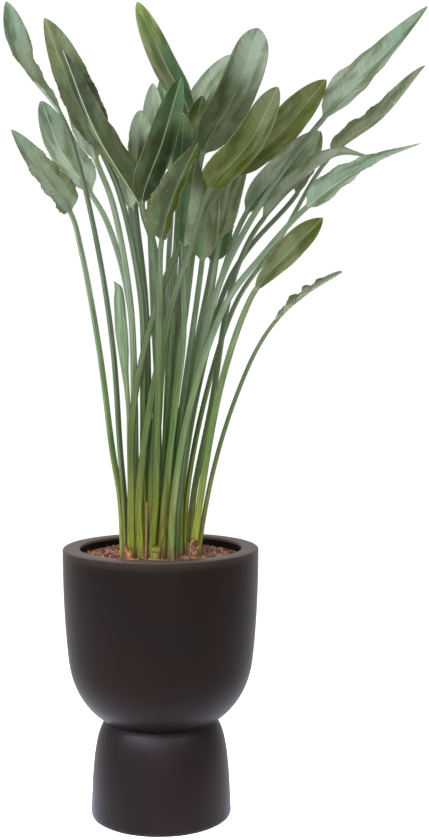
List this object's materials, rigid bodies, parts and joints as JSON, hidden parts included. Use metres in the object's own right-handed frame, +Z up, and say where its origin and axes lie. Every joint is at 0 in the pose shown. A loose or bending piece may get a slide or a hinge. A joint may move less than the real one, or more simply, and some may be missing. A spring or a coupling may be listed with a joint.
{
  "type": "potted bird of paradise plant",
  "caption": "Clump of upright paddle-shaped leaves on long stalks, standing in bark mix in a round-bottomed planter on a domed foot",
  "frame": {"origin": "centre of the pot's underside, on the floor", "axes": "+Z up along the pot's axis, -Y to the plant's front, +X to the right seen from the front"},
  "size_m": [0.8495, 0.473, 1.6865],
  "materials": {
    "fibre_stone": "matt anthracite cast fibre stone",
    "potting_mix": "reddish brown bark and coir mix",
    "olive_leaf": "smooth, slightly waxy dark leaf",
    "grey_green_leaf": "smooth leaf with a grey bloom",
    "pale_leaf": "pale underside with a waxy bloom",
    "young_leaf": "smooth fresh green",
    "dry_leaf": "dry, dull and fibrous"
  },
  "bodies": {
    "root": {"pot": "fibre_stone", "soil": "potting_mix", "leaf_01": "grey_green_leaf", "leaf_02": "grey_green_leaf", "leaf_03": "pale_leaf", "leaf_04": "olive_leaf", "leaf_05": "olive_leaf", "leaf_06": "olive_leaf", "leaf_07": "pale_leaf", "leaf_08": "pale_leaf", "leaf_09": "pale_leaf", "leaf_10": "pale_leaf", "leaf_11": "olive_leaf", "leaf_12": "olive_leaf", "leaf_13": "olive_leaf", "leaf_14": "grey_green_leaf", "leaf_15": "olive_leaf", "leaf_16": "pale_leaf", "leaf_17": "pale_leaf", "leaf_18": "grey_green_leaf", "leaf_19": "olive_leaf", "leaf_20": "olive_leaf", "leaf_21": "olive_leaf", "leaf_22": "grey_green_leaf", "leaf_23": "olive_leaf", "leaf_24": "grey_green_leaf", "leaf_25": "pale_leaf", "leaf_26": "pale_leaf", "leaf_27": "pale_leaf", "leaf_28": "grey_green_leaf", "leaf_29": "pale_leaf", "leaf_30": "olive_leaf", "leaf_31": "grey_green_leaf", "young_leaf": "young_leaf", "cut_stump": "young_leaf", "dry_stalk": "dry_leaf", "left_dry_sheath": "dry_leaf", "right_dry_sheath": "dry_leaf"}
  },
  "joints": []
}
